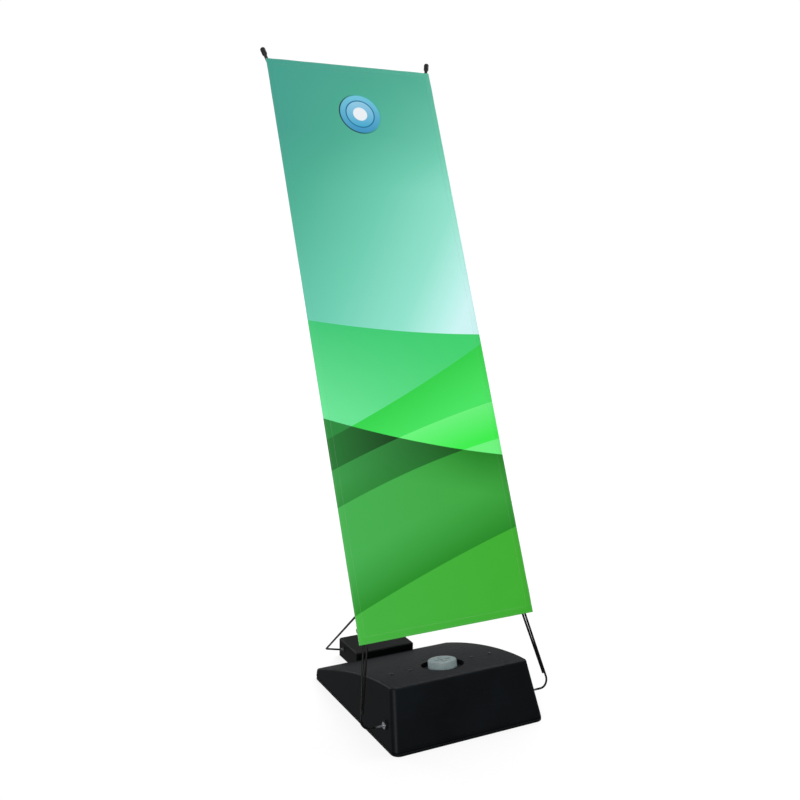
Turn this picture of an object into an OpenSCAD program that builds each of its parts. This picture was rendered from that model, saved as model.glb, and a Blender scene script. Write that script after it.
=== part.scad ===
// Outdoor banner stand: a printed sheet held taut on a spring-rod frame that leans back
// over a fillable moulded base. The frame hinges in the base's sides and rests on a rear stay.
// Millimetres. The origin is on the floor under the middle of the base, +Y is to the back.

/* [Base] */
// Width of the base on the floor
base_w = 520; // [430:10:640]
// Depth of the base on the floor
base_d = 600; // [500:10:720]
// Height of the base at its front edge
base_h = 178; // [150:1:214]
// Height of the base at its tail
tail_h = 30; // [28:1:36]
// Wall of the moulded base
base_wall = 5; // [4:0.5:7]
// Radius along the base's upper edges
base_edge_r = 12; // [8:1:14]
// Slope of the two sides, from upright
side_draft = 7.2; // [4:0.1:9]
// Slope of the front, from upright
front_draft = 20; // [12:1:24]
// Thickness of the flange that runs round the foot
flange_t = 8.5; // [6:0.5:11]

/* [Rear block] */
// Width of the rear block
block_w = 220; // [180:5:264]
// Depth of the rear block
block_d = 155; // [128:1:190]
// Height of the rear block
block_h = 64; // [54:1:77]
// Wall of the rear block
block_wall = 6; // [5:0.5:8]
// How far the block is let into the base's tail
block_sink = 20; // [12:1:26]

/* [Fill cap] */
// Outer diameter of the cap
cap_d = 92; // [80:1:111]
// Height of the cap
cap_h = 24; // [20:1:30]
// Outer diameter of the filler neck
neck_d = 76; // [64:1:80]
// Diameter of the round well that the cap sits in
well_d = 135; // [126:1:160]
// Depth of that well
well_depth = 15; // [12:1:18]
// How far the cap lies behind the base's front edge
cap_back = 185; // [160:1:220]

/* [Rods] */
// Diameter of the steel rods
rod_d = 6.4; // [5.3:0.1:7.7]
// Play of a rod in the hub, the saddles, the loops and the sleeve
rod_play = 0.1; // [0.08:0.01:0.12]
// Radial clearance between a hinge pin and its bush
pin_gap = 0.06; // [0.03:0.01:0.09]
// Length of a hinge pin inside its bush
pin_seat = 42; // [30:1:50]
// Gap from the base's flank to the corner of a front leg
leg_out = 72; // [60:1:86]
// Height of the front hinge pins
hinge_z = 65; // [55:1:78]
// How far the front hinge pins lie behind the base's front edge
hinge_back = 78; // [65:1:94]
// Height of the rear stay's pins
stay_z = 37; // [31:1:44]
// How far the rear stay's pins lie behind the block's front
stay_back = 113; // [94:1:130]
// Gap from the block's side to the bend of the stay
stay_out = 68; // [56:1:82]

/* [Frame] */
// Lean of the frame, from upright
lean = 22.7; // [15:0.1:27]
// How far the sheet's foot is above the hinge, along the frame
sheet_rise = 237; // [200:1:284]
// Height of the hub above the sheet's foot
hub_rise = 870; // [725:5:1040]
// Width of the hub
hub_w = 96; // [90:1:115]
// Height of the hub
hub_h = 150; // [130:1:180]
// Thickness of each half of the hub
hub_t = 9.5; // [8:0.5:11]
// Diameter of the glass-fibre poles
pole_d = 9; // [7.5:0.1:10.5]
// Play of a pole in its ferrule and its tip
pole_play = 0.1; // [0.05:0.05:0.2]
// Where along a pole its two sections meet, from 0 to 1
pole_joint = 0.5; // [0.3:0.05:0.7]
// How far the pole tips stand above the sheet's top edge
tip_rise = 44; // [30:1:53]

/* [Sheet] */
// Width of the printed sheet
sheet_w = 610; // [508:1:732]
// Height of the printed sheet
sheet_h = 1905; // [1588:1:2286]
// Thickness of the sheet with its hem
sheet_t = 2; // [1.6:0.1:2.4]
// Width of the webbing loops
web_w = 18; // [15:1:22]
// Thickness of the webbing
web_t = 1.6; // [1.3:0.1:1.9]

/* [Stay saddles] */
// How far the stay's cross bar is above the sheet's foot, along the frame
bar_rise = 86; // [71:1:104]
// Width of each saddle
saddle_w = 20; // [16:1:22]
// Thickness of the saddle between leg and bar
saddle_seat = 5; // [4:0.5:6]
// Wall of the soft sleeve on the bar
sleeve_t = 1.8; // [1.4:0.1:2.2]

/* [Hidden] */

rod_r = rod_d / 2;
pole_r = pole_d / 2;

// Base
front_y = -base_d / 2;
back_y = base_d / 2;
side_run = tan(side_draft);
front_run = tan(front_draft);
groove_h = 4;                       // shadow gap between the flange and the body
groove_in = 5;                      // how far that gap is set in under the flange
body_z = flange_t + groove_h;
corner_r = 25;
deck_y = front_y + front_run * base_h;
deck_len = back_y - deck_y;
deck_power = 1.5;                   // how the deck's fall grows towards the tail
deck_steps = 11;
tail_solid = 42;                    // unhollowed stretch at the tail, for the inserts
cut = 1;                            // how far a cutting shape runs past the face it cuts
fit_gap = 0.2;                      // round a screw in a clearance hole

function half_w(z) = base_w / 2 - side_run * z;
function deck_z(y) = base_h - (base_h - tail_h) * pow(max(0, (y - deck_y) / deck_len), deck_power);
function deck_slope(y) = atan((deck_z(y - 1) - deck_z(y + 1)) / 2);

// Front hinge
pin_y = front_y + hinge_back;
boss_proud = 2.5;
boss_t = 12;
boss_x = half_w(hinge_z) + boss_proud;   // face of the boss that the bush's flange bears on
bush_r = rod_r + 3.8;
bush_flange_r = bush_r + 3.2;
boss_r = bush_flange_r + 4.8;
bush_flange_t = 2.5;
leg_x = base_w / 2 + leg_out;
leg_bend = 28;

// Cap
cap_y = front_y + cap_back;
cap_tilt = deck_slope(cap_y);
neck_r = neck_d / 2;
neck_wall = 5;
neck_top = 9;                       // of the neck, above the deck
neck_play = 0.5;                    // between the neck and the cap's skirt
seal_t = 2.5;
cap_top_t = 4;
cap_foot_h = 4;                     // of the smooth ring at the rim's foot
cap_edge = 2;                       // height of the step round the top
cap_grips = 48;
grip_t = 2.8;
grip_proud = 2.4;
cap_recess = cap_d * 0.62;
bar_w = 8;                          // of the crossed bars on top
neck_cut = 60;                      // reach of the filler bore below the deck

// Rear block
block_y0 = back_y - block_sink;
block_gap = 0.3;
stay_y = block_y0 + stay_back;
stay_bush_r = rod_r + 3;
stay_bush_flange_t = 2;
block_chamfer = 3.5;
block_corner_r = 7;
screw_x = block_w * 0.27;
screw_z = tail_h * 0.6;
screw_r = 3;
screw_len = 22;
screw_head_h = 4;
insert_r = 5;
insert_len = 20;

// Frame, in its own axes: x across, n to the back off the sheet, s up along the sheet
sheet_n = -31;                      // middle of the sheet
sheet_back = sheet_n + sheet_t / 2;
foot_s = sheet_rise;
head_s = foot_s + sheet_h;
frame_n = -14;                      // axis of the rods and of the hub
knee_x = sheet_w / 2 - 20;
hub_s = foot_s + hub_rise;
hub_rod_x = hub_w * 0.22;
leg_end_s = hub_s - 20;
pole_foot_s = hub_s + 14;
hub_corner_r = 22;

// Hook rods
hook_s = foot_s + 31;
hook_n = frame_n - 10;
hook_in = 11;                       // from the leg at the sheet's foot
hook_end = 26;                      // reach of the hook, outwards
hook_lip = 12;
hook_cap_t = 1.2;

// Poles: from the hub to the sheet's top corners, a little forward of the frame at the top
tip_x = sheet_w / 2 - 5;
tip_over = 7;                       // how far the pole itself stands above the sheet
tip_s = head_s + tip_over;
tip_sleeve_t = 1;
tip_sleeve_r = pole_r + pole_play + tip_sleeve_t;
loop_play = 0.15;
tip_n = sheet_back + tip_sleeve_r + loop_play + web_t + 0.35;
pole_foot = [hub_rod_x, frame_n, pole_foot_s];
pole_head = [tip_x, tip_n, tip_s];
pole_len = norm(pole_head - pole_foot);
ferrule_len = 90;
ferrule_t = 1.2;
tip_sleeve_len = 62;
tip_bulb_r = pole_r + 4.2;
tip_bulb_len = 26;

// Rear stay: where its cross bar lies on the frame, and the free directions at the saddle
sleeve_r = rod_r + sleeve_t;
bar_s = foot_s + bar_rise;
notch_play = 0.4;                   // round the sleeve in a saddle
bar_n = frame_n + rod_r + saddle_seat + sleeve_r + notch_play;
bar_y = pin_y + bar_n * cos(lean) + bar_s * sin(lean);
bar_z = hinge_z - bar_n * sin(lean) + bar_s * cos(lean);
stay_rise = atan2(bar_z - stay_z, stay_y - bar_y);
lift_dir = 90 - stay_rise + lean;   // the stay's way out, from n towards s
leg_lean = atan2(knee_x - hub_rod_x, leg_end_s - foot_s);
saddle_x = knee_x - (bar_s - foot_s) * tan(leg_lean);
stay_top_x = saddle_x + saddle_w / 2 + 18;
saddle_low = 26;                    // of the saddle below the bar, along the frame
saddle_h = 46;
saddle_n0 = frame_n - rod_r - 2.5;
saddle_n1 = bar_n + sleeve_r + 2;
saddle_screw_r = 1.6;
stay_bend_x = block_w / 2 + stay_out;
stay_bend_y = stay_y - 3;
stay_bend_z = stay_z + 15;

// ---- shared shapes ----

function unit(v) = v / norm(v);

// Points of a round bend of radius r at b, between the stretches a-b and b-c.
function bend(a, b, c, r, steps) =
    let (u = unit(a - b), v = unit(c - b), half = acos(u * v) / 2,
         mid = b + unit(u + v) * r / sin(half),
         p = b + u * r / tan(half) - mid, q = b + v * r / tan(half) - mid, span = 180 - 2 * half)
    [for (i = [0:steps]) mid + (p * sin(span * (1 - i / steps)) + q * sin(span * i / steps)) / sin(span)];

function flip(pts) = [for (p = pts) [-p[0], p[1], p[2]]];

function reversed(pts) = [for (i = [len(pts) - 1:-1:0]) pts[i]];

// A round bar of radius r from p to q.
module bar(p, q, r) {
    d = q - p;
    translate(p) rotate([0, acos(d[2] / norm(d)), atan2(d[1], d[0])])
        cylinder(r = r, h = norm(d), $fn = 32);
}

// A bent rod: a tube of many flats swept along the points. ref is square to the plane of its bends.
rod_sides = 24;
rod_skin = 0.03;                    // of the swept stretch, over the true radius

module rod(pts, ref) {
    last = len(pts) - 1;
    ring_r = (rod_r + rod_skin) / cos(180 / rod_sides);
    rings = [for (i = [0:last]) let (
            before = unit(pts[max(i, 1)] - pts[max(i, 1) - 1]),
            after = unit(pts[min(i, last - 1) + 1] - pts[min(i, last - 1)]),
            run = unit(before + after), across = unit(cross(ref, run)), over = cross(run, across))
        for (k = [0:rod_sides - 1]) let (a = 360 * k / rod_sides)
            pts[i] + ring_r * (cos(a) * across + sin(a) * over)];
    walls = [for (i = [1:last], k = [0:rod_sides - 1]) let (
            a = (i - 1) * rod_sides + k, b = (i - 1) * rod_sides + (k + 1) % rod_sides)
        each [[a, a + rod_sides, b], [b, a + rod_sides, b + rod_sides]]];
    ends = [[for (k = [0:rod_sides - 1]) k], [for (k = [rod_sides - 1:-1:0]) last * rod_sides + k]];
    polyhedron(rings, concat(walls, ends), convexity = 6);
}

// A round bar along X from x0 to x1.
module bar_x(x0, x1, r) { translate([x0, 0, 0]) rotate([0, 90, 0]) cylinder(r = r, h = x1 - x0, $fn = 48); }

// Corners of a w by h rectangle with rounded corners of radius r.
function rounded(w, h, r, steps = 6) =
    [for (c = [[1, 1, 0], [-1, 1, 90], [-1, -1, 180], [1, -1, 270]], i = [0:steps])
        let (a = c[2] + 90 * i / steps)
        [c[0] * (w / 2 - r) + r * cos(a), c[1] * (h / 2 - r) + r * sin(a)]];

module slab(w, h, r, t) { linear_extrude(t) polygon(rounded(w, h, r)); }

// The left-hand piece is drawn, and mirrored for the right.
module on_side(side) { if (side < 0) children(); else mirror([1, 0, 0]) children(); }

// Places a piece given in the frame's own axes.
module in_frame() { translate([0, pin_y, hinge_z]) rotate([-lean, 0, 0]) children(); }

// ---- base ----

// The wedge shape of the base, drawn in by inset, closed at a chosen back and floor.
module wedge(inset, back, floor_z) {
    r = base_edge_r - inset;
    y0 = deck_y + inset * 0.2 + base_edge_r * 0.95;
    y1 = back - base_edge_r;
    cr = corner_r - inset;
    hull() {
        for (i = [0:deck_steps]) {
            y = y0 + (y1 - y0) * i / deck_steps;
            z = max(deck_z(y) - base_edge_r, floor_z + r);
            for (side = [-1, 1])
                translate([side * (half_w(z) - base_edge_r * 1.01), y, z]) sphere(r = r, $fn = 24);
        }
        for (side = [-1, 1], y = [front_y + front_run * floor_z + corner_r, back - corner_r])
            translate([side * (half_w(floor_z) - corner_r), y, floor_z]) cylinder(r = cr, h = 1, $fn = 32);
    }
}

// Places a piece on the deck under the cap, with Z square to the deck.
module at_cap() { translate([0, cap_y, deck_z(cap_y)]) rotate([-cap_tilt, 0, 0]) children(); }

// Places a piece on the axis of the front hinge pins.
module at_leg_hinge() { translate([0, pin_y, hinge_z]) children(); }

module tank_outside() {
    slab(base_w, base_d, corner_r, flange_t);
    translate([0, 0, flange_t - cut])
        slab(base_w - 2 * groove_in, base_d - 2 * groove_in, corner_r - groove_in, groove_h + 2 * cut);
    wedge(0, back_y - 2, body_z);
    for (side = [-1, 1]) at_leg_hinge() on_side(side) bar_x(-boss_x, -boss_x + boss_t, boss_r);
}

module tank_hollow() {
    difference() {
        wedge(base_wall, back_y - tail_solid, body_z + 1);
        for (side = [-1, 1]) at_leg_hinge() on_side(side)
            bar_x(-boss_x + cut, -boss_x + pin_seat + boss_t, boss_r);
        at_cap() translate([0, 0, -well_depth - base_wall])
            cylinder(d = well_d + 2 * base_wall, h = neck_cut, $fn = 96);
    }
}

module tank() color([0.07, 0.07, 0.075]) {
    difference() {
        tank_outside();
        tank_hollow();
        at_cap() translate([0, 0, -well_depth]) cylinder(d = well_d, h = 60, $fn = 96);
        at_cap() translate([0, 0, -neck_cut]) cylinder(r = neck_r - neck_wall, h = neck_cut, $fn = 96);
        for (side = [-1, 1]) at_leg_hinge() on_side(side)
            bar_x(-boss_x - cut, -boss_x + pin_seat + base_wall - cut, bush_r);
        translate([-block_w / 2 - block_gap, block_y0 - block_gap, -cut])
            cube([block_w + 2 * block_gap, block_d, base_h]);
        for (side = [-1, 1]) translate([side * screw_x, block_y0 - block_gap - insert_len, screw_z])
            rotate([-90, 0, 0]) cylinder(r = insert_r, h = block_d, $fn = 32);
        for (x = stud_x) at_stud(x) translate([0, 0, -stud_shank])
            cylinder(r = stud_r / 2, h = base_h, $fn = 32);
    }
    at_cap() difference() {
        translate([0, 0, -well_depth - 2 * cut])
            cylinder(r = neck_r, h = well_depth + 2 * cut + neck_top, $fn = 96);
        translate([0, 0, -neck_cut]) cylinder(r = neck_r - neck_wall, h = 2 * neck_cut, $fn = 96);
    }
}

// Domed studs in a row across the deck, two on each side of the cap.
stud_y = cap_y + 5;
stud_r = 6;
stud_shank = 4;
stud_gap = 0.05;
stud_x = [-base_w * 0.337, -base_w * 0.212, base_w * 0.212, base_w * 0.337];

module at_stud(x) { translate([x, stud_y, deck_z(stud_y)]) rotate([-deck_slope(stud_y), 0, 0]) children(); }

module deck_studs() color([0.15, 0.15, 0.16]) for (x = stud_x) at_stud(x) {
    difference() {
        translate([0, 0, -stud_r / 2]) sphere(r = stud_r * 1.17, $fn = 32);
        translate([0, 0, -2 * stud_r]) cube(4 * stud_r, center = true);
    }
    translate([0, 0, -stud_shank + fit_gap]) cylinder(r = stud_r / 2 - stud_gap, h = stud_shank, $fn = 32);
}

module leg_bush(side) color([0.62, 0.63, 0.65]) at_leg_hinge() on_side(side) difference() {
    union() {
        bar_x(-boss_x - bush_flange_t, -boss_x, bush_flange_r);
        bar_x(-boss_x - cut, -boss_x + pin_seat, bush_r);
    }
    bar_x(-boss_x - boss_t, -boss_x + pin_seat + cut, rod_r + pin_gap);
}

module left_leg_bush() leg_bush(-1);
module right_leg_bush() leg_bush(1);

// ---- cap ----

module cap_seal() color([0.1, 0.1, 0.1]) at_cap() translate([0, 0, neck_top]) difference() {
    cylinder(r = neck_r, h = seal_t, $fn = 96);
    translate([0, 0, -cut]) cylinder(r = neck_r - neck_wall, h = seal_t + 2 * cut, $fn = 96);
}

module fill_cap() color([0.86, 0.88, 0.84]) at_cap() {
    top = neck_top + seal_t + cap_top_t;
    foot = top - cap_h;
    core_d = cap_d - 3;
    difference() {
        union() {
            translate([0, 0, foot]) cylinder(d = core_d, h = cap_h - cap_edge, $fn = 96);
            translate([0, 0, foot]) cylinder(d = core_d - 2 * cap_edge, h = cap_h, $fn = 96);
            translate([0, 0, foot]) cylinder(d = cap_d, h = cap_foot_h, $fn = 96);
            for (i = [0:cap_grips - 1]) rotate(360 * i / cap_grips)
                translate([cap_d / 2 - grip_proud, -grip_t / 2, foot + cap_foot_h / 2])
                cube([grip_proud, grip_t, cap_h - cap_foot_h / 2 - cap_edge - cut]);
        }
        translate([0, 0, foot - cut]) cylinder(r = neck_r + neck_play, h = cap_h - cap_top_t + cut, $fn = 96);
        translate([0, 0, top - cap_top_t * 0.3]) cylinder(d = cap_recess, h = cap_top_t, $fn = 96);
    }
    for (a = [0, 90]) rotate(a) translate([-cap_recess * 0.48, -bar_w / 2, top - cap_top_t / 2])
        cube([cap_recess * 0.96, bar_w, cap_top_t * 0.9]);
}

// ---- rear block ----

module rear_block() color([0.08, 0.08, 0.085]) {
    translate([0, block_y0 + block_d / 2, 0]) difference() {
        hull() {
            slab(block_w, block_d, block_corner_r, block_h - block_chamfer);
            slab(block_w - 2 * block_chamfer, block_d - 2 * block_chamfer, block_corner_r - 2, block_h);
        }
        difference() {
            translate([0, 0, -cut]) slab(block_w - 2 * block_wall, block_d - 2 * block_wall,
                block_corner_r - 3, block_h - block_wall + cut);
            for (side = [-1, 1]) translate([0, stay_back - block_d / 2, stay_z]) on_side(side)
                bar_x(-block_w / 2 + cut, -block_w / 2 + pin_seat + block_wall + 2 * cut,
                    stay_bush_r + block_wall - cut);
            translate([-block_wall / 2, -block_d, -2 * cut]) cube([block_wall, 2 * block_d, 2 * block_h]);
        }
        for (side = [-1, 1]) translate([0, stay_back - block_d / 2, stay_z]) on_side(side)
            bar_x(-block_w / 2 - cut, -block_w / 2 + pin_seat + block_wall / 2, stay_bush_r);
        for (side = [-1, 1]) translate([side * screw_x, -block_d / 2 - cut, screw_z]) rotate([-90, 0, 0])
            cylinder(r = screw_r + fit_gap, h = block_wall + 2 * cut, $fn = 32);
    }
}

module block_inserts() color([0.72, 0.6, 0.3]) for (side = [-1, 1])
    translate([side * screw_x, block_y0 - block_gap - insert_len, screw_z]) rotate([-90, 0, 0]) difference() {
        cylinder(r = insert_r, h = insert_len, $fn = 32);
        translate([0, 0, cut]) cylinder(r = screw_r, h = insert_len, $fn = 32);
    }

module block_screws() color([0.6, 0.6, 0.62]) for (side = [-1, 1])
    translate([side * screw_x, block_y0 + block_wall, screw_z]) rotate([90, 0, 0]) {
        translate([0, 0, -screw_head_h]) cylinder(r = screw_r * 1.85, h = screw_head_h, $fn = 6);
        translate([0, 0, -cut]) cylinder(r = screw_r - 0.02, h = screw_len + cut, $fn = 32);
    }

module stay_bush(side) color([0.12, 0.12, 0.12]) translate([0, stay_y, stay_z]) on_side(side) difference() {
    union() {
        bar_x(-block_w / 2 - stay_bush_flange_t, -block_w / 2, stay_bush_r + 2.5);
        bar_x(-block_w / 2 - cut, -block_w / 2 + pin_seat, stay_bush_r);
    }
    bar_x(-block_w / 2 - boss_t, -block_w / 2 + pin_seat + cut, rod_r + pin_gap);
}

module left_stay_bush() stay_bush(-1);
module right_stay_bush() stay_bush(1);

// ---- front frame, in its own axes ----

pin_clear = bush_flange_t + 6;      // length of the true round pin outside its bush
pin_short = 2;                      // how far a pin ends before the bottom of its bush
knee_r = 60;
leg_pts = let (mouth = [-boss_x - pin_clear, 0, 0], corner = [-leg_x, 0, 0],
    knee = [-knee_x, frame_n, foot_s],
               head = [-hub_rod_x, frame_n, leg_end_s])
    concat([mouth], bend(mouth, corner, knee, leg_bend, 8), bend(corner, knee, head, knee_r, 2), [head]);

module leg(side) color([0.1, 0.1, 0.1]) in_frame() on_side(side) {
    rod(leg_pts, [0, 1, 0]);
    bar_x(-boss_x - pin_clear - rod_r, -boss_x + pin_seat - pin_short, rod_r);
}

module left_leg() leg(-1);
module right_leg() leg(1);

// The hook rod is welded along the inside of the leg and parts from it on the way up.
hook_foot_s = 44;
weld_sink = 0.1;                    // how far the two rods run into each other at the weld
hook_foot_x = leg_x - (leg_x - knee_x) * hook_foot_s / foot_s - rod_d + weld_sink;
hook_pts = let (low = [-hook_foot_x, frame_n * hook_foot_s / foot_s, hook_foot_s],
                knee = [-knee_x + hook_in, frame_n - 3, foot_s],
                top = [-knee_x + hook_in, hook_n, hook_s],
                out = [-knee_x + hook_in - hook_end, hook_n, hook_s],
                lip = out + [0, 0, hook_lip])
    concat([low, knee], bend(knee, top, out, 6, 6), bend(top, out, lip, 5, 6), [lip]);

module hook_rod(side) color([0.1, 0.1, 0.1]) in_frame() on_side(side) rod(hook_pts, [0, 1, 0]);

module left_hook_rod() hook_rod(-1);
module right_hook_rod() hook_rod(1);

module hook_cap(side) color([0.05, 0.05, 0.05]) in_frame() on_side(side)
    translate([-knee_x + hook_in - hook_end, hook_n, hook_s + hook_lip]) {
        cylinder(r = rod_r + hook_cap_t, h = rod_r + hook_cap_t, $fn = 32);
        translate([0, 0, rod_r]) cylinder(r1 = rod_r + hook_cap_t, r2 = rod_r - 1, h = 3, $fn = 32);
    }

module left_hook_cap() hook_cap(-1);
module right_hook_cap() hook_cap(1);

// Grooves of the two halves of the hub, for the legs below and the poles above.
module hub_grooves() {
    for (side = [-1, 1]) on_side(side) {
        bar([-knee_x, frame_n, foot_s], [-hub_rod_x, frame_n, leg_end_s + fit_gap], rod_r + rod_play);
        bar(pole_at(-fit_gap), pole_at(pole_len), pole_r);
    }
}

hub_screw_x = [0, 0, -hub_w * 0.38, hub_w * 0.38];
hub_screw_s = [-hub_h * 0.38, hub_h * 0.38, 0, 0];
hub_screw_r = 2.5;
hub_head_r = 4.6;
hub_head_h = 2;
hub_nut_h = 4;

module at_hub_screws() for (i = [0:3]) translate([hub_screw_x[i], frame_n, hub_s + hub_screw_s[i]])
    rotate([-90, 0, 0]) children();

// One half of the hub, from n0 to n0 + hub_t.
module hub_half(n0) {
    difference() {
        translate([0, n0, hub_s]) rotate([-90, 0, 0]) slab(hub_w, hub_h, hub_corner_r, hub_t);
        hub_grooves();
        at_hub_screws() cylinder(r = hub_screw_r + fit_gap, h = 4 * hub_t, center = true, $fn = 32);
    }
}

module hub_front() color([0.09, 0.09, 0.09]) in_frame() hub_half(frame_n - hub_t);
module hub_back() color([0.09, 0.09, 0.09]) in_frame() hub_half(frame_n);

module hub_screws() color([0.55, 0.56, 0.58]) in_frame() at_hub_screws() {
    translate([0, 0, -hub_t - hub_head_h])
        cylinder(r1 = hub_head_r * 0.7, r2 = hub_head_r, h = hub_head_h, $fn = 32);
    translate([0, 0, -hub_t - cut]) cylinder(r = hub_screw_r, h = 2 * hub_t + hub_nut_h + 3, $fn = 32);
}

module hub_nuts() color([0.55, 0.56, 0.58]) in_frame() at_hub_screws() translate([0, 0, hub_t]) difference() {
    cylinder(r = hub_head_r, h = hub_nut_h, $fn = 6);
    translate([0, 0, -cut]) cylinder(r = hub_screw_r + 0.03, h = hub_nut_h + 2 * cut, $fn = 32);
}

// The point on the left pole's axis at a distance from its foot.
function pole_at(mm) = flip([pole_foot + unit(pole_head - pole_foot) * mm])[0];
joint_mm = pole_len * pole_joint;

module pole(side, from_mm, to_mm) color([0.1, 0.1, 0.1]) in_frame() on_side(side)
    bar(pole_at(from_mm), pole_at(to_mm), pole_r);

module left_lower_pole() pole(-1, 0, joint_mm);
module right_lower_pole() pole(1, 0, joint_mm);
module left_upper_pole() pole(-1, joint_mm, pole_len);
module right_upper_pole() pole(1, joint_mm, pole_len);

module ferrule(side) color([0.6, 0.61, 0.62]) in_frame() on_side(side) difference() {
    bar(pole_at(joint_mm - ferrule_len / 2), pole_at(joint_mm + ferrule_len / 2),
        pole_r + pole_play + ferrule_t);
    bar(pole_at(joint_mm - ferrule_len), pole_at(joint_mm + ferrule_len), pole_r + pole_play);
}

module left_ferrule() ferrule(-1);
module right_ferrule() ferrule(1);

// Moulded end of a pole: a sleeve over the rod and a long bulb that the sheet's loop can't pass.
module pole_tip(side) color([0.04, 0.04, 0.04]) in_frame() on_side(side) {
    bulb_mm = pole_len + tip_rise - tip_over - tip_bulb_len;
    low = pole_at(bulb_mm + tip_bulb_r * 0.6);
    high = pole_at(bulb_mm + tip_bulb_len - tip_bulb_r * 0.8);
    difference() {
        bar(pole_at(pole_len - tip_sleeve_len), low, tip_sleeve_r);
        bar(pole_at(pole_len - tip_sleeve_len - cut), pole_at(pole_len + fit_gap), pole_r + pole_play);
    }
    bar(low, high, tip_bulb_r);
    for (end = [low, high]) translate(end) sphere(r = tip_bulb_r + 0.03, $fn = 32);
}

module left_pole_tip() pole_tip(-1);
module right_pole_tip() pole_tip(1);

// Saddle clamped on the leg. The sleeved bar of the stay rests in its notch, which is open to
// the back and upwards, so the stay can lift away and the frame can tip forward.
module saddle_notch() {
    far = 60;
    r = sleeve_r + notch_play;
    up = lift_dir + 3;
    low = -6;
    turns = 12;
    seat = [for (i = [0:turns]) let (a = up + 90 + (low + 180 - up) * i / turns) r * [cos(a), sin(a)]];
    rotate([90, 0, 90]) translate([bar_n, bar_s, 0]) linear_extrude(4 * sheet_w, center = true)
        polygon(concat(seat, [seat[turns] + far * [cos(low), sin(low)], far * [2, 2],
            seat[0] + far * [cos(up), sin(up)]]));
}

saddle_screw_low = 18;              // of the screw below the bar
saddle_screw_s = bar_s - saddle_screw_low;
saddle_screw_x = saddle_x + saddle_screw_low * tan(leg_lean);

module stay_saddle(side) color([0.08, 0.08, 0.08]) in_frame() on_side(side) difference() {
    translate([-saddle_x, saddle_n0, bar_s - saddle_low]) rotate([0, leg_lean, 0])
        translate([-saddle_w / 2, 0, 0]) cube([saddle_w, saddle_n1 - saddle_n0, saddle_h]);
    bar([-knee_x, frame_n, foot_s], [-hub_rod_x, frame_n, leg_end_s], rod_r + rod_play);
    saddle_notch();
    translate([-saddle_screw_x, frame_n, saddle_screw_s]) rotate([-90, 0, 0])
        cylinder(r = saddle_screw_r, h = 3 * saddle_w, $fn = 24);
}

module left_stay_saddle() stay_saddle(-1);
module right_stay_saddle() stay_saddle(1);

module saddle_screws() color([0.6, 0.6, 0.62]) in_frame() for (side = [-1, 1]) on_side(side)
    translate([-saddle_screw_x, 0, saddle_screw_s]) rotate([-90, 0, 0]) {
        translate([0, 0, frame_n + rod_r + fit_gap])
            cylinder(r = saddle_screw_r - 0.05, h = saddle_n1 - frame_n - rod_r - fit_gap + cut, $fn = 24);
        translate([0, 0, saddle_n1])
            cylinder(r1 = 2.1 * saddle_screw_r, r2 = 1.5 * saddle_screw_r, h = 2, $fn = 24);
    }

// ---- sheet ----

module banner_sheet() color([0.25, 0.72, 0.4]) in_frame()
    translate([-sheet_w / 2, sheet_n - sheet_t / 2, foot_s]) cube([sheet_w, sheet_t, sheet_h]);

// Webbing loop over the hook at a bottom corner, sewn to the back of the sheet.
module bottom_loop(side) color([0.06, 0.06, 0.06]) in_frame() on_side(side) {
    ring_r = hook_n - sheet_back - web_t + weld_sink * 4;
    mid_x = -knee_x + hook_in - hook_end / 2;
    strap_w = web_w - rod_d + weld_sink * 4;
    difference() {
        union() {
            translate([0, hook_n, hook_s]) bar_x(mid_x - strap_w / 2, mid_x + strap_w / 2, ring_r);
            translate([mid_x - strap_w / 2, sheet_back, hook_s - rod_d]) cube([strap_w, web_t, 44]);
        }
        translate([0, hook_n, hook_s]) bar_x(mid_x - web_w, mid_x + web_w, rod_r + rod_play);
    }
}

module bottom_left_loop() bottom_loop(-1);
module bottom_right_loop() bottom_loop(1);

// Webbing loop round a pole's tip at a top corner, sewn to the back of the sheet.
module top_loop(side) color([0.06, 0.06, 0.06]) in_frame() on_side(side) {
    loop_mm = pole_len - 30;
    c = pole_at(loop_mm);
    difference() {
        union() {
            bar(pole_at(loop_mm - web_w / 2), pole_at(loop_mm + web_w / 2), tip_sleeve_r + loop_play + web_t);
            translate([c[0] - web_w / 2, sheet_back, c[2] - 34]) cube([web_w, web_t, 40]);
        }
        bar(pole_at(loop_mm - web_w), pole_at(loop_mm + web_w), tip_sleeve_r + loop_play);
    }
}

module top_left_loop() top_loop(-1);
module top_right_loop() top_loop(1);

// ---- rear stay ----

stay_mouth = block_w / 2 + stay_bush_flange_t + 7;    // where the true round pin ends
stay_half = let (mouth = [-stay_mouth, stay_y, stay_z], low = [-stay_bend_x, stay_bend_y, stay_bend_z],
                 top = [-stay_top_x, bar_y, bar_z], mid = [0, bar_y, bar_z])
    concat([mouth], bend(mouth, low, top, 8, 6), bend(low, top, mid, 12, 8));

module rear_stay() color([0.1, 0.1, 0.1]) {
    rod(concat(stay_half, reversed(flip(stay_half))), [0, sin(stay_rise), cos(stay_rise)]);
    for (side = [-1, 1]) translate([0, stay_y, stay_z]) on_side(side)
        bar_x(-stay_mouth - rod_r, -block_w / 2 + pin_seat - pin_short, rod_r);
}

module stay_sleeve() color([0.03, 0.03, 0.03]) translate([0, bar_y, bar_z]) {
    reach = stay_top_x - 14;
    difference() {
        bar_x(-reach, reach, sleeve_r);
        bar_x(-reach - cut, reach + cut, rod_r + rod_play);
    }
}

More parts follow.
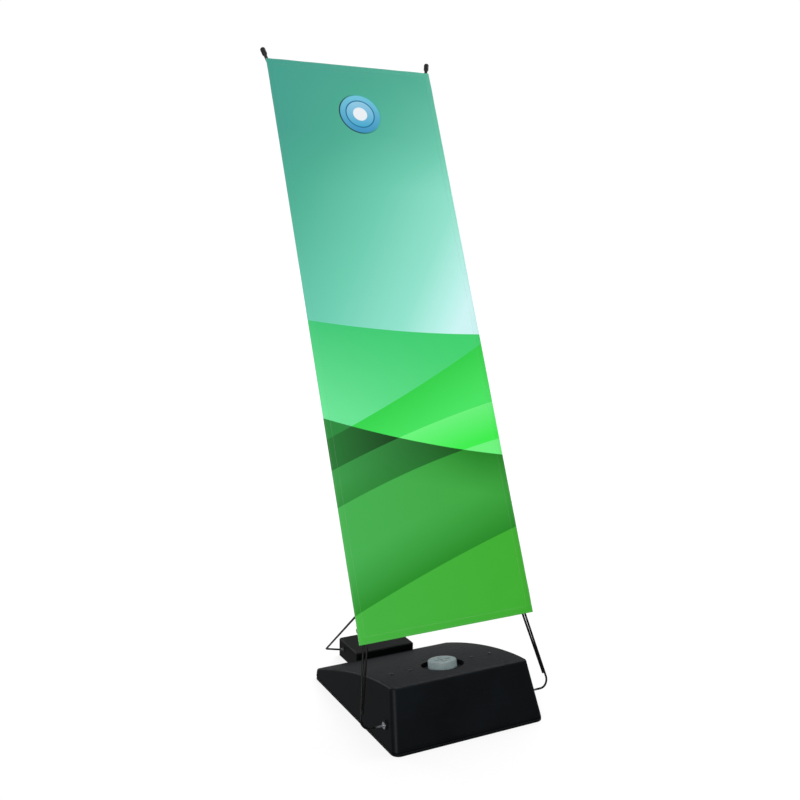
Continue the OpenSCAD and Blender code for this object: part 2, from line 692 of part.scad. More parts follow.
tank();
rear_block();
block_inserts();
block_screws();
left_leg_bush();
right_leg_bush();
left_stay_bush();
right_stay_bush();
deck_studs();
cap_seal();
fill_cap();
left_leg();
right_leg();
left_hook_rod();
right_hook_rod();
left_hook_cap();
right_hook_cap();
hub_front();
hub_back();
hub_screws();
hub_nuts();
left_lower_pole();
right_lower_pole();
left_upper_pole();
right_upper_pole();
left_ferrule();
right_ferrule();
left_pole_tip();
right_pole_tip();
left_stay_saddle();
right_stay_saddle();
saddle_screws();
banner_sheet();
top_left_loop();
top_right_loop();
bottom_left_loop();
bottom_right_loop();
rear_stay();
stay_sleeve();
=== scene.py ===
# An outdoor banner stand: a printed sheet held taut on a spring-rod frame that leans back over a
# black moulded base, which is filled with water or sand. Lengths are in millimetres until a mesh
# is made. The front frame's own axes are x across, n to the back off the sheet, s up along it.
from math import acos, atan2, cos, hypot, pi, radians, sin, tan

import bmesh
import bpy
from mathutils import Matrix, Vector


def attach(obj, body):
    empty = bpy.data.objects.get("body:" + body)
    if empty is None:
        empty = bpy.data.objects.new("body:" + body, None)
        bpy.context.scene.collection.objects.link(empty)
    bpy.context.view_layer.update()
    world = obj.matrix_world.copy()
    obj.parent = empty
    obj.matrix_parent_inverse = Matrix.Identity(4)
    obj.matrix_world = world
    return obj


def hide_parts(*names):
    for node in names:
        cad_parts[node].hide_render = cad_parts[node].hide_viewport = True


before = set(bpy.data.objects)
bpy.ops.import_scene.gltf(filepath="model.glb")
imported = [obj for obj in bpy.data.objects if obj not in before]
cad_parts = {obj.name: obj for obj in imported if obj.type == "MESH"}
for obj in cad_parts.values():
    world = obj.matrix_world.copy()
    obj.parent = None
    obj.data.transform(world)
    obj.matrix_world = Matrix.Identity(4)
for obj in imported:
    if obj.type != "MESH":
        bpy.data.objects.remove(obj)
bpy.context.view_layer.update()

# ---------------------------------------------------------------- camera
# A long lens at chest height, to the left of the stand and turned in towards it.
eye = Vector((-1.457, -2.640, 1.453))
yaw, pitch, roll = radians(27.27), radians(8.98), radians(0.44)
ahead = Vector((sin(yaw) * cos(pitch), cos(yaw) * cos(pitch), -sin(pitch)))
level = Vector((cos(yaw), -sin(yaw), 0))
upward = level.cross(ahead)
right = level * cos(roll) + upward * sin(roll)
top = upward * cos(roll) - level * sin(roll)
camera = bpy.data.objects.new("camera", bpy.data.cameras.new("camera"))
camera.data.sensor_width, camera.data.lens = 36, 44.5
camera.matrix_world = Matrix.Translation(eye) @ Matrix((right, top, -ahead)).transposed().to_4x4()
bpy.context.collection.objects.link(camera)
bpy.context.scene.camera = camera

# ---------------------------------------------------------------- base
# The real base is one hollow moulding of black polyethylene with walls about 5 mm thick. Its deck
# falls away to a thin tail, a flange runs round the foot under a shadow groove, and the round
# well in the deck holds the filler cap. A grain all over comes from the blasted mould.
MM = 0.001
base_w, base_d, base_h, tail_h = 520, 600, 178, 30
side_draft, front_draft = radians(7.2), radians(20)
flange_t, groove_h, flange_r, groove_in = 8.5, 4, 25, 5
deck_edge_r, upright_edge_r, deck_power = 12, 24, 1.5
hinge_z, hinge_back, boss_r, boss_proud = 65, 78, 15, 2.5
well_d, well_depth, neck_r, neck_wall, neck_top, cap_back = 135, 15, 38, 5, 9, 185
block_w, block_gap = 220, 0.3
front_y, back_y = -base_d / 2, base_d / 2
body_z = flange_t + groove_h
deck_y = front_y + tan(front_draft) * base_h
pin_y = front_y + hinge_back
cap_y = front_y + cap_back


class Link:
    """A socket of a material's nodes. Arithmetic on it adds Math nodes."""

    def __init__(self, socket):
        self.socket = socket

    def _sum(self, how, a, b):
        return node(self.socket.id_data, "Math", {"operation": how}, {0: a, 1: b})

    def __add__(self, other): return self._sum("ADD", self, other)
    def __radd__(self, other): return self._sum("ADD", other, self)
    def __sub__(self, other): return self._sum("SUBTRACT", self, other)
    def __rsub__(self, other): return self._sum("SUBTRACT", other, self)
    def __mul__(self, other): return self._sum("MULTIPLY", self, other)
    def __rmul__(self, other): return self._sum("MULTIPLY", other, self)
    def __truediv__(self, other): return self._sum("DIVIDE", self, other)
    def __pow__(self, other): return self._sum("POWER", self, other)
    def least(self, other): return self._sum("MINIMUM", self, other)
    def most(self, other): return self._sum("MAXIMUM", self, other)
    def wave(self): return self._sum("SINE", self, 0)
    def size(self): return self._sum("ABSOLUTE", self, 0)
    def within(self): return self.most(0).least(1)


def node(tree, kind, settings, sockets, out=0):
    """Adds one node: its type, then its settings, then the values or links of its sockets."""
    n = tree.nodes.new("ShaderNode" + kind)
    for key, value in settings.items():
        if key == "stops":
            for i, (place, colour) in enumerate(value):
                stop = n.color_ramp.elements[i] if i < 2 else n.color_ramp.elements.new(place)
                stop.position, stop.color = place, colour
        else:
            setattr(n, key, value)
    for key, value in sockets.items():
        if isinstance(value, Link):
            tree.links.new(value.socket, n.inputs[key])
        else:
            n.inputs[key].default_value = value
    return Link(n.outputs[out])


def ink(r, g, b):
    """A colour given as on a colour chart, from 0 to 255, as linear light."""
    return tuple(((c / 255 + 0.055) / 1.055) ** 2.4 if c > 10 else c / 3295 for c in (r, g, b)) + (1,)


class Finish:
    """A material: one main shader, whose constants are set on its own sockets."""

    def __init__(self, name, **constants):
        self.material = bpy.data.materials.new(name)
        self.material.use_nodes = True
        self.tree = self.material.node_tree
        self.shader = self.tree.nodes["Principled BSDF"]
        for key, value in constants.items():
            self.shader.inputs[key.replace("_", " ").title().replace("Ior", "IOR")].default_value = value
        self.place = self.node("TexCoord", {}, {}, out=3)

    def node(self, kind, settings, sockets, out=0):
        return node(self.tree, kind, settings, sockets, out)

    def noise(self, scale, detail=3, stretch=(1, 1, 1), roughness=0.5):
        place = self.node("Mapping", {}, {"Vector": self.place, "Scale": stretch})
        return self.node("TexNoise", {}, {"Vector": place, "Scale": scale, "Detail": detail,
                                          "Roughness": roughness})

    def cells(self, scale, stretch=(1, 1, 1)):
        place = self.node("Mapping", {}, {"Vector": self.place, "Scale": stretch})
        return self.node("TexVoronoi", {}, {"Vector": place, "Scale": scale})

    def mix(self, share, a, b):
        return self.node("Mix", {"data_type": "RGBA"}, {0: share, 6: a, 7: b}, out=2)

    def axis(self, vector, i):
        return self.node("SeparateXYZ", {}, {0: vector}, out=i)

    def set(self, **links):
        for key, link in links.items():
            self.tree.links.new(link.socket, self.shader.inputs[key.replace("_", " ").title()])

    def bump(self, height, depth, strength=1.0):
        """Sets the surface relief: depth is in millimetres for a height from 0 to 1."""
        self.set(normal=self.node("Bump", {}, {"Height": height, "Distance": depth * MM,
                                               "Strength": strength}))


def moulded(name, dark, pale, rough, grain, depth, **constants):
    """Moulded plastic: a fine grain, faint flow marks, scuffs on what faces up, and painted light that makes
    every face pointing up paler.
    """
    f = Finish(name, **constants)
    fine, coarse, blotch = f.cells(grain), f.noise(grain * 0.6, 4), f.noise(7, 5)
    up = f.axis(f.node("NewGeometry", {}, {}, out=1), 2).within()
    scuff = ((f.noise(38, 6, (1, 1, 3)) - 0.56) * 9).within() * up
    # Painted light: up * 0.28 makes every face that points up paler, as a lit top looks; the scuffs on those
    # faces are wear.
    f.set(base_color=f.mix((0.25 + (blotch - 0.5) * 0.9 + scuff * 0.35 + up * 0.28).within(), ink(*dark),
                           ink(*pale)),
          roughness=rough + (blotch - 0.5) * 0.16 + (coarse - 0.5) * 0.1 + scuff * 0.08)
    f.bump(fine * 0.6 + coarse * 0.7 + blotch * 0.6, depth)
    return f.material


def half_w(z): return base_w / 2 - tan(side_draft) * z


def deck_z(y): return base_h - (base_h - tail_h) * max(0, (y - deck_y) / (back_y - deck_y)) ** deck_power


def deck_slope(y): return atan2(deck_z(y - 1) - deck_z(y + 1), 2)


def mesh_of(name, points, faces):
    me = bpy.data.meshes.new(name)
    me.from_pydata([Vector(p) * MM for p in points], [], faces)
    ob = bpy.data.objects.new(name, me)
    bpy.context.collection.objects.link(ob)
    return ob


def settle(ob, smooth_to=35):
    """Applies the modifiers, and shades smooth over every edge flatter than an angle."""
    graph = bpy.context.evaluated_depsgraph_get()
    me = bpy.data.meshes.new_from_object(ob.evaluated_get(graph))
    ob.modifiers.clear()
    ob.data = me
    me.polygons.foreach_set("use_smooth", [True] * len(me.polygons))
    bm = bmesh.new()
    bm.from_mesh(me)
    for e in bm.edges:
        e.smooth = len(e.link_faces) == 2 and e.calc_face_angle() < radians(smooth_to)
    bm.to_mesh(me)
    bm.free()
    return ob


def rounded(ob, width, segments=3, angle=30, weights=False):
    """Rounds the edges: those with a bevel weight, or those sharper than an angle."""
    m = ob.modifiers.new("round", "BEVEL")
    m.width, m.segments, m.miter_outer = width * MM, segments, "MITER_ARC"
    m.limit_method, m.angle_limit = "WEIGHT" if weights else "ANGLE", radians(angle)
    return ob


def even_light(ob):
    """Lets the large flat faces rule the shading of the rounded edges beside them."""
    m = ob.modifiers.new("normals", "WEIGHTED_NORMAL")
    m.keep_sharp = True
    graph = bpy.context.evaluated_depsgraph_get()
    ob.data = bpy.data.meshes.new_from_object(ob.evaluated_get(graph))
    ob.modifiers.clear()
    return ob


def cut(ob, tools, how="DIFFERENCE"):
    for tool in tools:
        m = ob.modifiers.new("cut", "BOOLEAN")
        m.operation, m.object, m.solver = how, tool, "EXACT"
        graph = bpy.context.evaluated_depsgraph_get()
        me = bpy.data.meshes.new_from_object(ob.evaluated_get(graph))
        ob.modifiers.clear()
        ob.data = me
        bpy.data.objects.remove(tool)
    return ob


def corners_of(w, d, r, steps=8):
    """A w by d rectangle whose corners have the radius r, as points."""
    return [(sx * (w / 2 - r) + r * cos(a), sy * (d / 2 - r) + r * sin(a))
            for sx, sy, start in ((1, 1, 0), (-1, 1, 90), (-1, -1, 180), (1, -1, 270))
            for a in (radians(start + 90 * i / steps) for i in range(steps + 1))]


def slab(name, outline, z0, z1):
    n = len(outline)
    return mesh_of(name, [(x, y, z) for z in (z0, z1) for x, y in outline],
                   [list(range(n))[::-1], list(range(n, 2 * n))]
                   + [[i, (i + 1) % n, n + (i + 1) % n, n + i] for i in range(n)])


def turned(name, profile, sides=96, foot=(0, 0, 0), along=(0, 0, 1), ribs=lambda angle, i: 0):
    """A turned solid: profile gives (radius, height) from the foot's middle to the top's middle."""
    turn = Vector((0, 0, 1)).rotation_difference(Vector(along)).to_matrix()
    points, faces, rings = [], [], []
    for i, (r, z) in enumerate(profile):
        if r == 0:
            rings.append([len(points)])
            points.append(Vector((0, 0, z)))
            continue
        rings.append(list(range(len(points), len(points) + sides)))
        for k in range(sides):
            a = 2 * pi * k / sides
            at = r + ribs(a, i)
            points.append(Vector((at * cos(a), at * sin(a), z)))
    for low, high in zip(rings, rings[1:]):
        for k in range(sides):
            j = (k + 1) % sides
            if len(low) == 1:
                faces.append([low[0], high[j], high[k]])
            elif len(high) == 1:
                faces.append([low[k], low[j], high[0]])
            else:
                faces.append([low[k], low[j], high[j], high[k]])
    if len(rings[0]) > 1:
        faces.append(rings[0][::-1])
    if len(rings[-1]) > 1:
        faces.append(rings[-1])
    return mesh_of(name, [turn @ p + Vector(foot) for p in points], faces)


def wear(ob, material, body, slot, *nodes):
    """Gives a piece its finish and its body, and hides the nodes it stands for. The slot is not used."""
    ob.data.materials.clear()
    ob.data.materials.append(material)
    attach(ob, body)
    if nodes:
        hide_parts(*nodes)
    return ob


deck_steps = 36
deck_line = [deck_y + (back_y - 2 - deck_y) * i / deck_steps for i in range(deck_steps + 1)]
flank = ([(front_y + tan(front_draft) * body_z, body_z - 1)] + [(y, deck_z(y)) for y in deck_line]
         + [(back_y - 2, body_z - 1)])
n = len(flank)
base = mesh_of("base", [(side * half_w(z), y, z) for side in (-1, 1) for y, z in flank],
               [list(range(n)), list(range(n, 2 * n))[::-1]]
               + [[i, n + i, n + (i + 1) % n, (i + 1) % n] for i in range(n)])
bm = bmesh.new()
bm.from_mesh(base.data)
bmesh.ops.recalc_face_normals(bm, faces=bm.faces)
weight = bm.edges.layers.float.new("bevel_weight_edge")
for e in bm.edges:
    a, b = (v.co / MM for v in e.verts)
    if max(a.z, b.z) < body_z:
        continue
    if min(a.z, b.z) < body_z:
        e[weight] = 1
    elif abs(a.x - b.x) < 60 and a.x * b.x > 0 or abs(a.x - b.x) > 60 and (
            abs(a.y - deck_y) < 1 or a.y > back_y - 3):
        e[weight] = deck_edge_r / upright_edge_r
bm.to_mesh(base.data)
bm.free()
settle(rounded(base, upright_edge_r, 8, weights=True))
flange = slab("flange", corners_of(base_w, base_d, flange_r), 0, flange_t)
settle(rounded(flange, 2, 3))
groove = slab("groove", corners_of(base_w - 2 * groove_in, base_d - 2 * groove_in, flange_r - 4),
              flange_t - 1, body_z + 6)
lean_of_cap = Vector((0, sin(deck_slope(cap_y)), cos(deck_slope(cap_y))))
cap_foot = Vector((0, cap_y, deck_z(cap_y)))
boss_x = half_w(hinge_z) + boss_proud
bosses = [turned("boss", [(0, 0), (boss_r + 1.5, 0), (boss_r + 0.4, 11), (boss_r, 11.6), (boss_r - 0.8, 12),
                          (0, 12)],
                 64, (side * (boss_x - 12), pin_y, hinge_z), (side, 0, 0)) for side in (-1, 1)]
cut(base, [groove, flange] + bosses, "UNION")
well = turned("well", [(0, -well_depth), (well_d / 2, -well_depth), (well_d / 2, 60), (0, 60)],
              128, cap_foot, lean_of_cap)
slot_for_block = slab("slot", corners_of(block_w + 2 * block_gap, 60, 1, 1), -5, 200)
block_y0 = back_y - 20
slot_for_block.data.transform(Matrix.Translation((0, (block_y0 - block_gap + 30) * MM, 0)))
bush_r, pin_seat = 7, 42
bush_holes = [turned("hole", [(0, 0), (bush_r, 0), (bush_r, 60), (0, 60)], 48,
                     (side * (boss_x - pin_seat - 4), pin_y, hinge_z), (side, 0, 0)) for side in (-1, 1)]
cut(base, [well, slot_for_block] + bush_holes)
neck = turned("neck", [(0, -well_depth - 2), (neck_r, -well_depth - 2), (neck_r, neck_top), (0, neck_top)],
              128, cap_foot, lean_of_cap)
cut(base, [neck], "UNION")
bore = turned("bore", [(0, -60), (neck_r - neck_wall, -60), (neck_r - neck_wall, 60), (0, 60)],
              128, cap_foot, lean_of_cap)
cut(base, [bore])
rounded(base, 1.6, 3, 38)
even_light(settle(base, 40))
base_plastic = moulded("black moulded polyethylene", (3, 4, 5), (16, 21, 25), 0.46, 520, 0.22,
                       specular_ior_level=0.09)
wear(base, base_plastic, "base", "base_plastic", "tank")

# ---------------------------------------------------------------- cap and seal
# The filler cap is turned off by its ribbed rim. It is natural polyethylene, a little
# see-through, with a crossed grip on top, and it screws down on a flat rubber seal.
cap_d, cap_h, seal_t, cap_top_t = 92, 24, 2.5, 4
cap_top = neck_top + seal_t + cap_top_t
rib_count, rib_h = 48, 1.3


def rib(angle, i):
    """The rim's ribs: they fade out towards the foot ring and the top edge."""
    return rib_h * (max(0, cos(rib_count * angle)) ** 0.6 - 0.6) if 3 <= i <= 7 else 0


cap_r, skirt_z = cap_d / 2 - rib_h, cap_top - cap_h
cap_profile = [(neck_r + 0.5, skirt_z + 0.6), (cap_d / 2 - 0.5, skirt_z), (cap_d / 2, skirt_z + 0.8),
               (cap_r, skirt_z + 4), (cap_r, skirt_z + 5.5), (cap_r, skirt_z + 12),
               (cap_r - 0.1, cap_top - 5),
               (cap_r - 0.4, cap_top - 3.2), (cap_r - 1.6, cap_top - 1.2), (cap_r - 3.4, cap_top - 0.2),
               (cap_r - 5, cap_top), (cap_d * 0.31 + 0.6, cap_top), (cap_d * 0.31 - 0.2, cap_top - 0.5),
               (cap_d * 0.31 - 0.8, cap_top - 1.2), (0, cap_top - 1.2)]
inside = [(0, cap_top - cap_top_t), (neck_r + 0.5, cap_top - cap_top_t)]
cap = turned("fill_cap", inside + cap_profile, rib_count * 8, cap_foot, lean_of_cap,
             lambda a, i: rib(a, i - len(inside)))
grips = [slab("grip", [(x, y) for x, y in corners_of(*size, 3.9)], cap_top - 2, cap_top + 1.5)
         for size in ((cap_d * 0.6, 8), (8, cap_d * 0.6))]
tilt = (Matrix.Translation(cap_foot * MM)
        @ Vector((0, 0, 1)).rotation_difference(lean_of_cap).to_matrix().to_4x4())
for grip in grips:
    grip.data.transform(tilt)
settle(cut(cap, grips, "UNION"), 180)
rounded(cap, 0.5, 2, 50)
even_light(settle(cap, 45))
cap_plastic = Finish("natural polyethylene", specular_ior_level=0.5, subsurface_weight=0.15,
                     subsurface_scale=0.02)
haze = cap_plastic.noise(26, 5)
grime = ((cap_plastic.noise(90, 6) - 0.5) * 4).within()
cap_plastic.set(base_color=cap_plastic.mix(grime * 0.35, ink(124, 139, 140), ink(96, 109, 109)),
                roughness=0.38 + haze * 0.18)
cap_plastic.bump(haze + cap_plastic.noise(700, 2) * 0.3, 0.12)
wear(cap, cap_plastic.material, "fill_cap", "cap_plastic", "fill_cap")

rubber = Finish("matt rubber", specular_ior_level=0.3)
bloom = rubber.noise(60, 5)
rubber.set(base_color=rubber.mix(bloom, ink(22, 22, 22), ink(44, 44, 45)), roughness=0.75 + bloom * 0.15)
rubber.bump(rubber.noise(1500, 2), 0.05)
seal_r0, seal_r1 = neck_r - neck_wall, neck_r
seal = turned("seal", [(seal_r0, neck_top), (seal_r1 - 0.3, neck_top), (seal_r1, neck_top + 0.4),
                       (seal_r1, neck_top + seal_t - 0.4), (seal_r1 - 0.3, neck_top + seal_t),
                       (seal_r0 + 0.3, neck_top + seal_t), (seal_r0, neck_top + seal_t - 0.4)],
              96, cap_foot, lean_of_cap)
cut(seal, [turned("seal_bore", [(0, 0), (seal_r0, 0), (seal_r0, 30), (0, 30)], 96, cap_foot, lean_of_cap)])
wear(settle(seal), rubber.material, "cap_seal", "rubber_seal", "cap_seal")

# ---------------------------------------------------------------- small moulded and metal fittings
# Bushes, studs, screws, nuts, inserts, the rear block, the hub's halves and the saddles have
# their exact shape already. Each gets the small edge radius of its mould or its tumbling drum.


def softened(name, width, material, body, slot, segments=2):
    """A node's own shape, joined up and with its hard edges rounded."""
    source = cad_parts[name]
    ob = bpy.data.objects.new(name + "_piece", source.data.copy())
    bpy.context.collection.objects.link(ob)
    ob.data.transform(source.matrix_world)
    bm = bmesh.new()
    bm.from_mesh(ob.data)
    bmesh.ops.remove_doubles(bm, verts=bm.verts, dist=0.00001)
    bmesh.ops.dissolve_limit(bm, angle_limit=radians(0.6), verts=bm.verts, edges=bm.edges)
    bm.to_mesh(ob.data)
    bm.free()
    rounded(ob, width, segments, 32)
    even_light(settle(ob, 40))
    return wear(ob, material, body, slot, name)


nylon = moulded("black nylon", (10, 10, 11), (30, 31, 33), 0.42, 900, 0.08, specular_ior_level=0.3)
block_plastic = moulded("black moulded block", (3, 4, 4), (9, 12, 12), 0.46, 640, 0.16,
                        specular_ior_level=0.09)
zinc = Finish("zinc plate", metallic=1.0)
streak = zinc.noise(400, 4)
zinc.set(base_color=zinc.mix(zinc.noise(45, 4), ink(205, 207, 210), ink(160, 163, 168)),
         roughness=0.22 + streak * 0.2)
zinc.bump(streak, 0.03)
brass = Finish("brass", metallic=1.0)
brass.set(base_color=brass.mix(brass.noise(60, 4), ink(222, 188, 104), ink(170, 134, 70)),
          roughness=0.28 + brass.noise(300) * 0.2)

softened("rear_block", 1.2, block_plastic, "base", "block_plastic", 3)
softened("deck_studs", 0.4, nylon, "base", "black_nylon")
for side in ("left", "right"):
    softened(side + "_leg_bush", 0.5, zinc.material, "base", "bright_steel")
    softened(side + "_stay_bush", 0.5, nylon, "base", "black_nylon")
softened("block_inserts", 0.3, brass.material, "base", "brass")
softened("block_screws", 0.3, zinc.material, "base", "bright_steel")
softened("hub_front", 1.8, nylon, "front_frame", "black_nylon", 4)
softened("hub_back", 1.8, nylon, "front_frame", "black_nylon", 4)
softened("hub_screws", 0.4, zinc.material, "front_frame", "bright_steel")
softened("hub_nuts", 0.5, zinc.material, "front_frame", "bright_steel")
softened("left_stay_saddle", 1.0, nylon, "front_frame", "black_nylon", 3)
softened("right_stay_saddle", 1.0, nylon, "front_frame", "black_nylon", 3)
softened("saddle_screws", 0.3, zinc.material, "front_frame", "bright_steel")

# ---------------------------------------------------------------- steel rods of the front frame
# Each leg is one steel rod: its foot is the hinge pin in the base's flank, it turns up round a
# full bend, and it leans in to the hub. A hook rod is welded along it and carries the sheet's
# bottom loop. Both are powder coated, and the pins are rubbed bright where they turn.
lean = radians(22.7)
rod_r, leg_out, leg_bend, sheet_rise, sheet_w, sheet_h, sheet_t = 3.2, 72, 28, 237, 610, 1905, 2
frame_n, hub_rise, hub_w = -14, 870, 96
leg_x, knee_x = base_w / 2 + leg_out, sheet_w / 2 - 20
foot_s, head_s, hub_s = sheet_rise, sheet_rise + sheet_h, sheet_rise + hub_rise
hub_rod_x, leg_end_s, pole_foot_s = hub_w * 0.22, hub_s - 20, hub_s + 14


def on_frame(x, n, s):
    """A point given in the front frame's own axes."""
    return Vector((x, pin_y + n * cos(lean) + s * sin(lean), hinge_z - n * sin(lean) + s * cos(lean)))


def bent(points, radii, steps=10):
    """The line of a rod through the points, with a round bend of each radius in between."""
    points = [Vector(p) for p in points]
    line = [points[0]]
    for a, b, c, r in zip(points, points[1:], points[2:], radii):
        u, v = (a - b).normalized(), (c - b).normalized()
        half = acos(max(-1, min(1, u.dot(v)))) / 2
        middle = b + (u + v).normalized() * r / sin(half)
        p, q, span = b + u * r / tan(half) - middle, b + v * r / tan(half) - middle, pi - 2 * half
        line += [middle + (p * sin(span * (1 - i / steps)) + q * sin(span * i / steps)) / sin(span)
                 for i in range(steps + 1)]
    return line + [points[-1]]


def swept(name, line, r, sides=24, nose=0.8):
    """A round rod along a line, with its ends chamfered."""
    line = [Vector(p) for p in line]
    first, last = (line[1] - line[0]).normalized(), (line[-1] - line[-2]).normalized()
    line = [line[0], line[0] + first * nose] + line[1:-1] + [line[-1] - last * nose, line[-1]]
    sizes = [r - nose] + [r] * (len(line) - 2) + [r - nose]
    runs = [(line[min(i + 1, len(line) - 1)] - line[max(i - 1, 0)]).normalized() for i in range(len(line))]
    across = runs[0].orthogonal().normalized()
    points, faces = [], []
    for i, (p, run) in enumerate(zip(line, runs)):
        across = (across - run * across.dot(run)).normalized()
        over = run.cross(across)
        points += [p + (across * cos(a) + over * sin(a)) * sizes[i]
                   for a in (2 * pi * k / sides for k in range(sides))]
    for i in range(len(line) - 1):
        a = i * sides
        faces += [[a + k, a + (k + 1) % sides, a + sides + (k + 1) % sides, a + sides + k]
                  for k in range(sides)]
    faces += [list(range(sides))[::-1], list(range(len(points) - sides, len(points)))]
    return settle(mesh_of(name, points, faces), 60)


def coated_steel(name, bare=None):
    """Powder coat: an orange-peel skin, a few chips, and bare metal where a test mask says so."""
    f = Finish(name, specular_ior_level=0.12)
    peel, chip = f.noise(420, 2), ((f.noise(130, 7) - 0.72) * 14).within()
    rubbed = chip * 0.8 if bare is None else (chip * 0.8 + bare(f)).within()
    f.set(base_color=f.mix(rubbed, ink(9, 9, 10), ink(168, 170, 174)), metallic=rubbed,
          roughness=0.3 + peel * 0.1 + rubbed * 0.05)
    f.bump(peel - chip * 0.6, 0.03)
    return f.material


def bright_pin(f):
    """Bare metal on the hinge pins: near the bushes, and fading out along the rod."""
    x = f.axis(f.place, 0)
    worn = f.noise(60, 4, (0.4, 1, 1))
    return (((boss_x + 30) * MM - x.size()) / (26 * MM) + (worn - 0.5) * 0.8).within()


def bright_stay_pin(f):
    x, y = f.axis(f.place, 0), f.axis(f.place, 1)
    near = (((block_w / 2 + 14) * MM - x.size()) / (8 * MM)).within()
    return near * ((y - 0.37) / 0.01).within()


leg_steel = coated_steel("powder-coated leg", bright_pin)
rod_steel = coated_steel("powder-coated rod")
hook_in, hook_end, hook_lip, hook_foot_s = 11, 26, 12, 44
hook_s, hook_n, hook_x = foot_s + 31, frame_n - 10, knee_x - 11
hook_foot_x = leg_x - (leg_x - knee_x) * hook_foot_s / foot_s - 2 * rod_r + 0.1
vinyl = Finish("soft vinyl", specular_ior_level=0.35)
vinyl.set(base_color=vinyl.mix(vinyl.noise(80, 4), ink(14, 14, 15), ink(30, 30, 31)),
          roughness=0.52 + vinyl.noise(40) * 0.16)
vinyl.bump(vinyl.noise(900, 2), 0.06)

for side, k in (("left", -1), ("right", 1)):
    leg_line = bent([on_frame(k * x, n, s) for x, n, s in (
        (boss_x - pin_seat + 2, 0, 0), (leg_x, 0, 0), (knee_x, frame_n, foot_s),
        (hub_rod_x, frame_n, leg_end_s))],
        (leg_bend, 60))
    wear(swept(side + "_leg_rod", leg_line, rod_r), leg_steel, "front_frame", "black_steel", side + "_leg")
    hook_line = bent([on_frame(k * x, n, s) for x, n, s in (
        (hook_foot_x, frame_n * hook_foot_s / foot_s, hook_foot_s), (hook_x, frame_n - 3, foot_s),
        (hook_x, hook_n, hook_s), (hook_x + hook_end, hook_n, hook_s),
        (hook_x + hook_end, hook_n, hook_s + hook_lip))],
        (40, 6, 5), 8)
    wear(swept(side + "_hook", hook_line, rod_r, nose=0.6), rod_steel, "front_frame", "black_steel",
         side + "_hook_rod")
    foot = on_frame(k * (hook_x + hook_end), hook_n, hook_s + hook_lip)
    along = on_frame(0, 0, 1) - on_frame(0, 0, 0)
    wear(settle(turned(side + "_hook_end", [(0, -6), (rod_r + 0.9, -6), (rod_r + 1.2, -5), (rod_r + 1.2, 3),
                                           (rod_r + 0.9, 4.6), (rod_r - 0.4, 5.8), (0, 6)], 32, foot,
                                           along), 50),
         vinyl.material, "front_frame", "black_vinyl", side + "_hook_cap")
    beads = []
    for s in (hook_foot_s + 6, 132, 218):
        t = s / foot_s
        x = leg_x - (leg_x - knee_x) * t - rod_r - (hook_in / 2 - rod_r) * max(0, (t - 0.2)) * 0.6
        beads.append(on_frame(k * x, frame_n * t - 1.6, s))
    bead_along = (on_frame(k * knee_x, frame_n, foot_s) - on_frame(k * leg_x, 0, 0)).normalized()
    weld = swept(side + "_weld", [beads[0] + bead_along * d for d in (-9, -6, -2, 2, 6, 9)], 2.2, 16, 1.6)
    wear(weld, rod_steel, "front_frame", "black_steel")

# ---------------------------------------------------------------- poles, ferrules and tips
# Two black glass-fibre poles stand in the hub and bow the sheet's top corners apart. Each is in
# two sections joined by an aluminium ferrule, and ends in a soft moulded tip with a long bulb.
pole_r, play, tip_rise, web_t = 4.5, 0.1, 44, 1.6
sheet_n = -31
sheet_back = sheet_n + sheet_t / 2
tip_x, tip_s, tip_n = sheet_w / 2 - 5, head_s + 7, sheet_back - 2 * web_t + 3.2 + pole_r + 3.2
ferrule_len, tip_sleeve_len, bulb_r, bulb_len = 90, 62, 8.7, 26
fibre = Finish("pultruded glass fibre", specular_ior_level=0.5, coat_roughness=0.1)
strands = fibre.noise(900, 3, (1, 1, 0.03))
fibre.set(base_color=fibre.mix(strands, ink(16, 16, 18), ink(34, 35, 38)), roughness=0.24 + strands * 0.2)
fibre.bump(strands, 0.04)
tube = Finish("drawn aluminium", metallic=1.0)
drawn = tube.noise(1200, 3, (1, 1, 0.02))
tube.set(base_color=tube.mix(drawn, ink(196, 198, 202), ink(150, 152, 156)), roughness=0.26 + drawn * 0.2)
tube.bump(drawn, 0.02)

